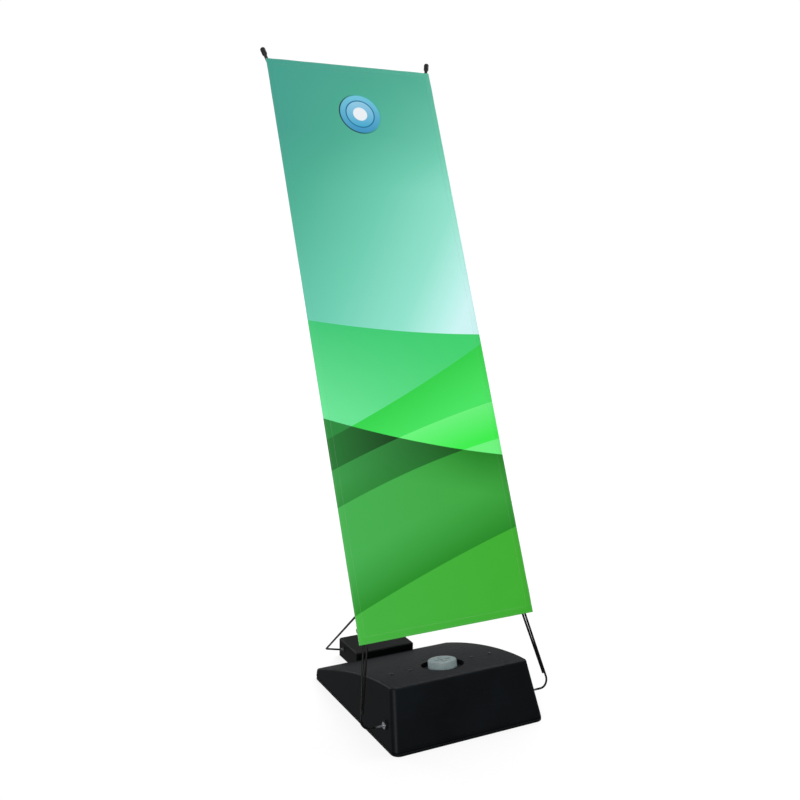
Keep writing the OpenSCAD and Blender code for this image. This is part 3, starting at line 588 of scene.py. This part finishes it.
for side, k in (("left", -1), ("right", 1)):
    low = on_frame(k * hub_rod_x, frame_n, pole_foot_s)
    high = on_frame(k * tip_x, tip_n, tip_s)
    run = (high - low).normalized()
    length = (high - low).length
    middle = length / 2

    def at(mm): return low + run * mm

    wear(swept(side + "_pole_low", [at(0), at(middle - 0.2)], pole_r), fibre.material, "front_frame",
         "glass_fibre", side + "_lower_pole")
    wear(swept(side + "_pole_high", [at(middle + 0.2), at(length)], pole_r), fibre.material, "front_frame",
         "glass_fibre", side + "_upper_pole")
    r0, r1, l = pole_r + play, pole_r + play + 1.2, ferrule_len / 2
    ring = [(r0, -l), (r1 - 0.4, -l), (r1, -l + 0.5), (r1, -l + 12), (r1 - 0.5, -l + 13), (r1 - 0.5, -l + 15),
            (r1, -l + 16), (r1, l - 16), (r1 - 0.5, l - 15), (r1 - 0.5, l - 13), (r1, l - 12), (r1, l - 0.5),
            (r1 - 0.4, l), (r0, l)]
    wear(settle(turned(side + "_ferrule_tube", ring, 40, at(middle), run), 50), tube.material,
         "front_frame", "ferrule_aluminium", side + "_ferrule")
    r2, bulb = pole_r + play + 1, length + tip_rise - 7 - bulb_len
    tip = [(r0, length - tip_sleeve_len), (r2 - 0.3, length - tip_sleeve_len),
           (r2, length - tip_sleeve_len + 0.8),
           (r2, bulb - 6), (r2 + 0.3, bulb - 4)]
    tip += [(r2 + (bulb_r - r2) * sin(radians(a)) ** 0.8, bulb - 2 + 7 * (1 - cos(radians(a))))
            for a in range(15, 91, 15)]
    tip += [(bulb_r - 0.25, bulb + bulb_len * 0.42), (bulb_r, bulb + bulb_len * 0.6)]
    tip += [(bulb_r * cos(radians(a)), bulb + bulb_len - bulb_r * 0.72 + bulb_r * 0.72 * sin(radians(a)))
            for a in (0, 18, 36, 54, 70, 82)] + [(0, bulb + bulb_len)]
    wear(settle(turned(side + "_tip", tip, 40, low, run), 60), vinyl.material, "front_frame",
         "black_vinyl", side + "_pole_tip")

# ---------------------------------------------------------------- rear stay
# One bent rod: both its ends are hinge pins in the rear block, and its sleeved cross bar lies in
# the open saddles on the legs and props the frame. It lifts out to let the frame fold.
stay_back, stay_z, stay_out, bar_rise, saddle_seat, sleeve_t, saddle_w = 113, 37, 68, 86, 5, 1.8, 20
stay_y = block_y0 + stay_back
sleeve_r, bar_s = rod_r + sleeve_t, foot_s + bar_rise
bar_n = frame_n + rod_r + saddle_seat + sleeve_r + 0.4
bar = on_frame(0, bar_n, bar_s)
leg_lean = atan2(knee_x - hub_rod_x, leg_end_s - foot_s)
stay_top_x = knee_x - (bar_s - foot_s) * tan(leg_lean) + saddle_w / 2 + 18
half_stay = [(-block_w / 2 + pin_seat - 2, stay_y, stay_z), (-block_w / 2 - 9, stay_y, stay_z),
             (-block_w / 2 - stay_out, stay_y - 3, stay_z + 15), (-stay_top_x, bar.y, bar.z)]
stay_line = bent(half_stay + [(-x, y, z) for x, y, z in half_stay[::-1]], (60, 8, 12, 12, 8, 60), 8)
stay_steel = coated_steel("powder-coated stay", bright_stay_pin)
wear(swept("stay_rod", stay_line, rod_r), stay_steel, "rear_stay", "black_steel", "rear_stay")
reach = stay_top_x - 14
sleeve = [(rod_r + play, -reach), (sleeve_r - 0.4, -reach), (sleeve_r, -reach + 0.5)]
sleeve += [(sleeve_r + 0.12 * sin(x * 0.9) * sin(x * 0.057), x)
           for x in range(-int(reach) + 2, int(reach) - 1, 2)]
sleeve += [(sleeve_r, reach - 0.5), (sleeve_r - 0.4, reach), (rod_r + play, reach)]
wear(settle(turned("sleeve", sleeve, 32, bar, (1, 0, 0)), 60), vinyl.material, "rear_stay", "black_vinyl",
     "stay_sleeve")

# ---------------------------------------------------------------- printed sheet
# A woven polyester banner, 610 by 1905 mm, printed on the front only and hemmed all round with
# two rows of lock stitch. Pulled at its four corners it is nearly flat, with a slight draw there.
hem_w, cloth_t, hem_t = 25, 0.6, 1.5
cells_x, cells_s = 62, 192


def draw(x, s):
    """How far the cloth stands off its plane at a point, in millimetres."""
    u, v = abs(x) / (sheet_w / 2), (s - foot_s) / sheet_h
    pull = sum(1.5 * sin(0.055 * hypot(abs(x) - sheet_w / 2, s - c) + 0.8) * 2.718 ** (
        -hypot(abs(x) - sheet_w / 2, s - c) / 130) for c in (foot_s, head_s))
    slack = 1.1 * sin(pi * v) * sin(2.3 * pi * v + x * 0.004) * (1 - 0.35 * u * u)
    return pull * 0.6 + slack


def thick(x, s):
    edge = min(sheet_w / 2 - abs(x), s - foot_s, head_s - s)
    return hem_t if edge < hem_w else hem_t - (hem_t - cloth_t) * min(1, (edge - hem_w) / 1.5)


def rungs(low, high, count):
    """Positions across a side, with close ones where the hem steps down."""
    close = [0, 0.6, hem_w - 1, hem_w, hem_w + 0.5, hem_w + 1, hem_w + 1.6, hem_w + 4]
    inner = [low + close[-1] + (high - low - 2 * close[-1]) * i / count for i in range(1, count)]
    return [low + c for c in close] + inner + [high - c for c in close[::-1]]


xs, ss = rungs(-sheet_w / 2, sheet_w / 2, cells_x), rungs(foot_s, head_s, cells_s)
wide, tall = len(xs), len(ss)
front_n = sheet_n - sheet_t / 2 + 0.1
points, faces = [], []
for layer in (0, 1):
    for s in ss:
        for x in xs:
            edge = min(sheet_w / 2 - abs(x), s - foot_s, head_s - s)
            tuck = 0.3 if edge < 0.3 else 0
            n = front_n + tuck + draw(x, s) if layer == 0 else front_n + thick(x, s) - tuck + draw(x, s)
            points.append(on_frame(x, n, s))
for j in range(tall - 1):
    for i in range(wide - 1):
        a = j * wide + i
        faces.append([a, a + 1, a + wide + 1, a + wide])
for j in range(tall - 1):
    for i in range(wide - 1):
        a = wide * tall + j * wide + i
        faces.append([a, a + wide, a + wide + 1, a + 1])
ring = ([i for i in range(wide)] + [j * wide + wide - 1 for j in range(1, tall)]
        + [(tall - 1) * wide + i for i in range(wide - 2, -1, -1)]
        + [j * wide for j in range(tall - 2, 0, -1)])
for a, b in zip(ring, ring[1:] + ring[:1]):
    faces.append([b, a, a + wide * tall, b + wide * tall])
sheet = mesh_of("printed_sheet", points, faces)
uv = sheet.data.uv_layers.new(name="cut")
flat_of = [(x + sheet_w / 2, head_s - s) for _ in (0, 1) for s in ss for x in xs]
for loop in sheet.data.loops:
    x, y = flat_of[loop.vertex_index]
    uv.data[loop.index].uv = (x * MM, y * MM)
cells = (wide - 1) * (tall - 1)
settle(sheet, 50)

white = ink(236, 238, 236)
printed = Finish("printed polyester", specular_ior_level=0.08)
cut_place = printed.node("UVMap", {"uv_map": "cut"}, {})
across, down = printed.axis(cut_place, 0), printed.axis(cut_place, 1)


def curve(a, b, c):
    """How far a place lies below a curve across the sheet, in metres."""
    return down - (a + across * b + across * across * c)


def side_of(distance, width=0.0012):
    return (distance / width + 0.5).within()


def fade(distance, length):
    return (distance / length).within()


share = across / (sheet_w * MM)
sky = (down - 0.25).most(0) * 0.65 + share * (down * 0.95 + 0.18).least(0.62)
mint = printed.node("ValToRGB", {"stops": [(0, ink(66, 159, 141)), (1, ink(210, 250, 249)),
                                           (0.18, ink(76, 174, 147)),
                                           (0.5, ink(109, 205, 176)), (0.78, ink(147, 229, 207)),
                                           (0.92, ink(186, 245, 235))]}, {"Fac": sky})
far_hill, near_hill = (0.907, 0.1885, -0.1236), (1.222, 0.3695, -0.1515)
below_a, below_b = curve(*far_hill), curve(*near_hill)
band = [curve(1.289, -0.387, -0.118), curve(1.386, -0.3718, 0.1365), curve(1.500, -0.3803, 0.1827),
        curve(1.821, -0.3738, 0.0967)]
upper = printed.mix(fade(below_a, 0.3), ink(62, 196, 118), ink(106, 226, 150))
upper = printed.mix(share * 0.7, upper, ink(62, 220, 105))
upper = printed.mix(side_of(band[0]), upper, printed.mix(fade(band[0], 0.17), ink(50, 211, 74),
                                                         ink(74, 233, 100)))
upper = printed.mix(side_of(band[1]), upper, printed.mix(fade(band[1], 0.11), ink(108, 246, 126),
                                                         ink(62, 243, 78)))
upper = printed.mix(side_of(band[2]), upper, ink(112, 250, 128))
deep = printed.mix(side_of(band[0]), ink(40, 134, 58),
                   printed.mix(share * 2.4, ink(36, 116, 48), ink(12, 52, 16)))
deep = printed.mix(side_of(band[1]), deep, printed.mix((share * 1.3).within(), ink(56, 152, 70),
                                                       ink(10, 72, 14)))
deep = printed.mix((1 - fade(0 - band[2], 0.07)) * side_of(band[1]) * (1 - share) * 0.6, deep,
                   ink(34, 128, 42))
main = printed.mix(share, ink(67, 172, 77), ink(61, 170, 62))
main = printed.mix((1 - fade(0 - band[3], 0.17)) ** 1.3, main, ink(35, 140, 34))
main = printed.mix((share * 1.6 - 0.35).within() * (1 - fade(below_b, 0.14)), main, ink(32, 132, 33))
deep = printed.mix(side_of(band[2]), deep, main)
deep = printed.mix(side_of(band[3]), deep, printed.mix(share, ink(65, 175, 60), ink(63, 178, 46)))
art = printed.mix(side_of(below_a), mint, printed.mix(side_of(below_b), upper, deep))

# A plain round badge in the upper part: a pale rim, a blue ring and a clear disc.
badge_x, badge_y, badge_rim, badge_blue, badge_ring, badge_disc = 0.309, 0.181, 0.078, 0.0735, 0.052, 0.026
from_x, from_y = across - badge_x, down - badge_y
badge_r = (from_x * from_x + from_y * from_y * 1.14) ** 0.5
badge = printed.mix(fade(from_y + 0.08, 0.16), ink(118, 202, 226), ink(48, 140, 190))
badge = printed.mix(side_of(badge_ring - badge_r), badge,
                    printed.mix(fade(from_y + 0.05, 0.1), ink(150, 205, 232), ink(60, 168, 206)))
badge = printed.mix(side_of(0.0022 - (badge_r - badge_ring).size()), badge, ink(28, 110, 150))
badge = printed.mix(side_of(badge_disc - badge_r) * 0.92, badge, ink(244, 246, 248))
badge = printed.mix(side_of(badge_r - badge_blue), badge,
                    printed.mix(fade(0 - from_x + from_y * 0.5 + 0.04, 0.09), ink(70, 176, 160),
                                ink(24, 60, 66)))
art = printed.mix(side_of(badge_rim - badge_r), art, badge)
weave_pitch = 0.0011
weave_x, weave_y = (across * 2 * pi / weave_pitch).wave(), (down * 2 * pi / weave_pitch).wave()
weave = weave_x * weave_y
thread = printed.node("TexNoise", {}, {"Vector": cut_place, "Scale": 900, "Detail": 2})
printed.set(base_color=printed.mix((0.5 - weave * 0.5) * 0.012, art, ink(255, 255, 255)),
            roughness=0.52 + thread * 0.12)
printed.bump(weave * 0.5 + thread, 0.05)

plain = Finish("unprinted back", specular_ior_level=0.2)
strike_blur = 0.004
cut_place = plain.node("UVMap", {"uv_map": "cut"}, {})
across, down = plain.axis(cut_place, 0), plain.axis(cut_place, 1)
strike = plain.mix(side_of(curve(*far_hill), strike_blur), ink(222, 234, 230), ink(206, 228, 210))
strike = plain.mix(side_of(curve(*near_hill), strike_blur), strike, ink(190, 216, 194))
edge_x = (across - sheet_w / 2 * MM).size() - (sheet_w / 2 - hem_w) * MM
edge_y = (down - sheet_h / 2 * MM).size() - (sheet_h / 2 - hem_w) * MM
hemmed = side_of(edge_x.most(edge_y), 0.0008)
weave = (across * 2 * pi / weave_pitch).wave() * (down * 2 * pi / weave_pitch).wave()
plain.set(base_color=plain.mix(hemmed, plain.mix((0.5 - weave * 0.5) * 0.08, strike, white),
                               ink(232, 236, 233)),
          roughness=0.66 + weave * 0.04)
plain.bump(weave, 0.05)
wear(sheet, printed.material, "front_frame", "printed_sheet", "banner_sheet")
sheet.data.materials.append(plain.material)
for polygon in sheet.data.polygons:
    polygon.material_index = 1 if polygon.index >= cells else 0

# Lock stitch: two rows of clear thread, 4 mm to a stitch, along each hem, front and back.
stitch_len, stitch_r = 3.1, 0.25
points, faces = [], []


def stitch(p, q, out):
    """One stitch of thread from p to q, humped off the cloth."""
    run, start = (q - p).normalized(), len(points)
    across = run.cross(out)
    for t, h in ((0, -0.2), (0.2, 0.22), (0.5, 0.34), (0.8, 0.22), (1, -0.2)):
        c = p.lerp(q, t) + out * h
        points.extend(c + (across * cos(a) + out * sin(a)) * stitch_r for a in (0.5, 1.57, 2.64, 4.7))
    for i in range(4):
        a = start + 4 * i
        faces.extend([a + k, a + (k + 1) % 4, a + 4 + (k + 1) % 4, a + 4 + k] for k in range(4))
    faces.extend([[start + 3, start + 2, start + 1, start], list(range(len(points) - 4, len(points)))])


normal = (on_frame(0, 1, 0) - on_frame(0, 0, 0)).normalized()
for inset in (hem_w - 4, 4):
    x1, s0, s1 = sheet_w / 2 - inset, foot_s + inset, head_s - inset
    for (xa, sa), (xb, sb) in (((-x1, s0), (x1, s0)), ((-x1, s1), (x1, s1)), ((-x1, s0), (-x1, s1)),
                               ((x1, s0), (x1, s1))):
        count = int(hypot(xb - xa, sb - sa) / 4)
        for i in range(count):
            x, s = xa + (xb - xa) * i / count, sa + (sb - sa) * i / count
            dx, ds = (stitch_len, 0) if sa == sb else (0, stitch_len)
            for n, out in ((front_n, -normal), (front_n + hem_t, normal)):
                stitch(on_frame(x, n + draw(x, s), s), on_frame(x + dx, n + draw(x + dx, s + ds), s + ds),
                       out)
clear_thread = Finish("clear nylon thread", specular_ior_level=0.4, alpha=0.3)
twist = clear_thread.noise(2500, 2)
clear_thread.set(base_color=clear_thread.mix(twist, ink(225, 228, 224), ink(190, 194, 190)),
                 roughness=0.3 + twist * 0.2)
stitches = wear(settle(mesh_of("hem_stitches", points, faces), 70), clear_thread.material, "front_frame",
                "printed_sheet")

# ---------------------------------------------------------------- webbing loops
# Black polyester webbing, 18 mm wide, folded round the pole tips at the top and round the hooks
# at the foot, and sewn to the back of the sheet with a boxed cross, which is not drawn.
web_w = 18
webbing = Finish("woven webbing", specular_ior_level=0.25, sheen_weight=0.2)
web_place = webbing.node("UVMap", {"uv_map": "web"}, {})
web_u, web_v = webbing.axis(web_place, 0), webbing.axis(web_place, 1)
ribbing = (web_u * 2 * pi / 0.0012).wave() * 0.5 + 0.5
picks = (web_v * 2 * pi / 0.0016 + web_u * 2 * pi / 0.0024).wave() * 0.5 + 0.5
webbing.set(base_color=webbing.mix(ribbing * picks, ink(13, 13, 14), ink(44, 44, 47)),
            roughness=0.72 + picks * 0.1)
webbing.bump(ribbing * 0.6 + picks * 0.7, 0.22)


def ribbon(name, line, side, width, thickness, closed=False):
    """A flat strap along a line. side is its direction across, and thickness lies to its outside."""
    points, faces, places, run_mm = [], [], [], 0
    count = len(line)
    for i, p in enumerate(line):
        before, after = ((line[i - 1] if closed or i else p),
                         (line[(i + 1) % count] if closed or i < count - 1 else p))
        out = (after - before).normalized().cross(side)
        run_mm += (p - line[i - 1]).length if i else 0
        for w, t in ((-0.5, 0.2), (-0.5, 0.8), (-0.47, 1), (0.47, 1), (0.5, 0.8), (0.5, 0.2), (0.47, 0),
                     (-0.47, 0)):
            points.append(p + side * width * w + out * thickness * t)
            places.append((w * width * MM, run_mm * MM))
    for i in range(count if closed else count - 1):
        a, b = 8 * i, 8 * ((i + 1) % count)
        faces += [[a + k, a + (k + 1) % 8, b + (k + 1) % 8, b + k] for k in range(8)]
    if not closed:
        faces += [list(range(8))[::-1], list(range(8 * count - 8, 8 * count))]
    ob = mesh_of(name, points, faces)
    layer = ob.data.uv_layers.new(name="web")
    for loop in ob.data.loops:
        layer.data[loop.index].uv = places[loop.vertex_index]
    bm = bmesh.new()
    bm.from_mesh(ob.data)
    bmesh.ops.recalc_face_normals(bm, faces=bm.faces)
    bm.to_mesh(ob.data)
    bm.free()
    return ob


def joined(name, parts):
    whole = bmesh.new()
    for part in parts:
        whole.from_mesh(part.data)
        bpy.data.objects.remove(part)
    me = bpy.data.meshes.new(name)
    whole.to_mesh(me)
    whole.free()
    ob = bpy.data.objects.new(name, me)
    bpy.context.collection.objects.link(ob)
    return settle(ob, 50)


x_dir = Vector((1, 0, 0))
s_dir = (on_frame(0, 0, 1) - on_frame(0, 0, 0)).normalized()
loops = []
for side, k in (("left", -1), ("right", 1)):
    low, high = on_frame(k * hub_rod_x, frame_n, pole_foot_s), on_frame(k * tip_x, tip_n, tip_s)
    run = (high - low).normalized()
    centre = high - run * 30
    out = (normal - run * normal.dot(run)).normalized()
    r = pole_r + play + 1 + 0.15
    turn = [centre + (out * cos(a) + run.cross(out) * sin(a)) * r
            for a in (2 * pi * i / 40 for i in range(40))]
    c = centre - on_frame(0, 0, 0)
    cx, cs = c.x, c.dot(s_dir)
    patch_n = front_n + hem_t + 0.05
    patch = [on_frame(cx, patch_n + draw(cx, s), s) for s in [cs - 34 + 40 * i / 12 for i in range(13)]]
    top_loop = joined(side + "_top_loop", [ribbon("turn", turn, run, web_w, web_t, closed=True),
                                          ribbon("patch", patch, -x_dir, web_w, web_t * 0.6)])
    wear(top_loop, webbing.material, "front_frame", "webbing", f"top_{side}_loop")
    mid_x = k * (hook_x + hook_end / 2)
    turn = [on_frame(mid_x, hook_n + (rod_r + 0.15) * cos(a), hook_s + (rod_r + 0.15) * sin(a))
            for a in (2 * pi * i / 40 for i in range(40))]
    patch = [on_frame(mid_x, patch_n + draw(mid_x, s), s)
             for s in [hook_s - 6 + 44 * i / 12 for i in range(13)]]
    foot_loop = joined(side + "_foot_loop", [ribbon("turn", turn, -x_dir, web_w - 6, web_t * 0.8,
                                                    closed=True),
                                            ribbon("patch", patch, -x_dir, web_w - 6, web_t * 0.6)])
    wear(foot_loop, webbing.material, "front_frame", "webbing", f"bottom_{side}_loop")
    loops += [top_loop, foot_loop]
[stitches] + loops

# ---------------------------------------------------------------- studio
# A plain white floor that glows by itself, a painted light that is dimmer near the stand and full white
# further out, so it fades into a white room, with a large soft key at the front left, a wide panel
# overhead for the sheen on the deck, and a weaker fill behind.
room_light, floor_light, floor_paper = 0.3, 0.79, 0.22
floor_r = 60000
floor = mesh_of("floor", [(floor_r * x, floor_r * y, 0) for x, y in ((-1, -1), (1, -1), (1, 1), (-1, 1))],
                [[0, 1, 2, 3]])
paper = Finish("studio paper", specular_ior_level=0.0, emission_strength=1.0,
               base_color=(floor_paper, floor_paper, floor_paper, 1), roughness=0.9)
# The floor's glow is painted light: dimmest within 1.2 m of the stand, where real shadow falls on it, rising
# to full white at 5.2 m.
far = paper.node("VectorMath", {"operation": "LENGTH"}, {0: paper.place}, out=1)
glow = ((far - 1.2) / 4).within() * (1.05 - floor_light) + floor_light
paper.set(emission_color=paper.node("CombineXYZ", {}, {0: glow, 1: glow, 2: glow}))
floor.data.materials.append(paper.material)
floor.visible_diffuse = floor.visible_glossy = False
world = bpy.data.worlds.new("studio")
world.use_nodes = True
seen = node(world.node_tree, "LightPath", {}, {})
world.node_tree.links.new((seen * (1.02 - room_light) + room_light).socket,
                          world.node_tree.nodes["Background"].inputs["Strength"])
world.node_tree.nodes["Background"].inputs["Color"].default_value = (1, 1, 1, 1)
bpy.context.scene.world = world


def panel(name, place, aim, size, power):
    lamp = bpy.data.lights.new(name, "AREA")
    lamp.shape, lamp.size, lamp.size_y, lamp.energy = "RECTANGLE", size[0], size[1], power
    ob = bpy.data.objects.new(name, lamp)
    ob.location = place
    ob.rotation_euler = (Vector(aim) - Vector(place)).to_track_quat("-Z", "Y").to_euler()
    bpy.context.collection.objects.link(ob)


panel("overhead", (1.7, 1.2, 3.0), (0, 0, 0.2), (2.6, 2.2), 84)
panel("key", (-2.8, -4.2, 2.2), (0, 0, 0.8), (2.4, 2.4), 225)
panel("rear fill", (-1.8, 4.6, 2.4), (0, 0.2, 0.9), (2.4, 2.4), 70)
bpy.context.scene.view_settings.view_transform = "Standard"
